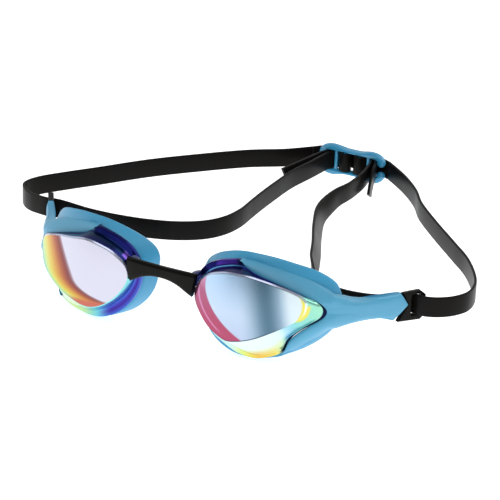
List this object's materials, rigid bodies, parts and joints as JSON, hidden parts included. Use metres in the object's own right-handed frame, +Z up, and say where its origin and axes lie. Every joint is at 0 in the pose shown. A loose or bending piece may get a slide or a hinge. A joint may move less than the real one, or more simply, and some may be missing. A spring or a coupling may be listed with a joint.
{
  "type": "swim goggles",
  "caption": "Racing swim goggles: mirrored eye cups with soft seals, nose bridge, split strap in arm clips, sliding ladder buckle.",
  "frame": {"origin": "middle plane of the nose bridge, at mid-height of the eye cups, where the front of the bridge stands", "axes": "+X to the wearer's left, +Y back towards the buckle, +Z up towards the brow"},
  "size_m": [0.2086, 0.1858, 0.0419],
  "materials": {
    "mirrored_lens": "mirror coated polycarbonate",
    "gasket": "satin soft silicone",
    "frame": "satin moulded plastic",
    "clip": "gloss black plastic",
    "bridge": "gloss black flexible plastic",
    "buckle": "gloss moulded plastic",
    "strap": "satin silicone"
  },
  "bodies": {
    "bridge": {"nose_bridge": "bridge"},
    "left_cup": {"left_lens": "mirrored_lens", "left_gasket": "gasket", "left_frame": "frame", "left_strap_clip": "clip"},
    "right_cup": {"right_lens": "mirrored_lens", "right_gasket": "gasket", "right_frame": "frame", "right_strap_clip": "clip"},
    "strap": {"left_strap_loop": "strap", "right_strap_loop": "strap", "left_outer_strand": "strap", "right_outer_strand": "strap", "left_inner_strand": "strap", "right_inner_strand": "strap"},
    "buckle": {"buckle": "buckle", "strap_back_pass": "strap", "left_strap_wrap": "strap", "right_strap_wrap": "strap"},
    "left_tail": {"left_strap_tail": "strap"},
    "right_tail": {"right_strap_tail": "strap"}
  },
  "joints": [
    {"name": "left_cup_rock", "type": "hinge", "parent": "bridge", "child": "left_cup", "pos_m": [0.0135, -0.0004, 0.0044], "axis": [0.8083, 0.5798, -0.1023], "range_deg": [-6, 6], "stiffness_Nm_per_rad": 0.6},
    {"name": "right_cup_rock", "type": "hinge", "parent": "bridge", "child": "right_cup", "pos_m": [-0.0135, -0.0004, 0.0044], "axis": [-0.8083, 0.5798, -0.1023], "range_deg": [-6, 6], "stiffness_Nm_per_rad": 0.6},
    {"name": "strap_swing", "type": "hinge", "parent": "bridge", "child": "strap", "pos_m": [0, 0.0506, -0.0046], "axis": [1, 0, 0], "range_deg": [-30, 60], "deforming": ["left_strap_loop", "right_strap_loop", "left_outer_strand", "right_outer_strand", "left_inner_strand", "right_inner_strand"]},
    {"name": "strap_adjust", "type": "slide", "parent": "strap", "child": "buckle", "axis": [0, 1, 0], "range_m": [-0.02, 0.006]},
    {"name": "left_tail_feed", "type": "slide", "parent": "buckle", "child": "left_tail", "axis": [0.2822, -0.9594, 0], "range_m": [-0.012, 0.04], "deforming": ["left_strap_tail"]},
    {"name": "right_tail_feed", "type": "slide", "parent": "buckle", "child": "right_tail", "axis": [-0.1528, -0.9883, 0], "range_m": [-0.012, 0.04], "deforming": ["right_strap_tail"]}
  ],
  "couplings": [
    {"joint": "left_tail_feed", "follows": "strap_adjust", "ratio": -2},
    {"joint": "right_tail_feed", "follows": "strap_adjust", "ratio": -2}
  ]
}
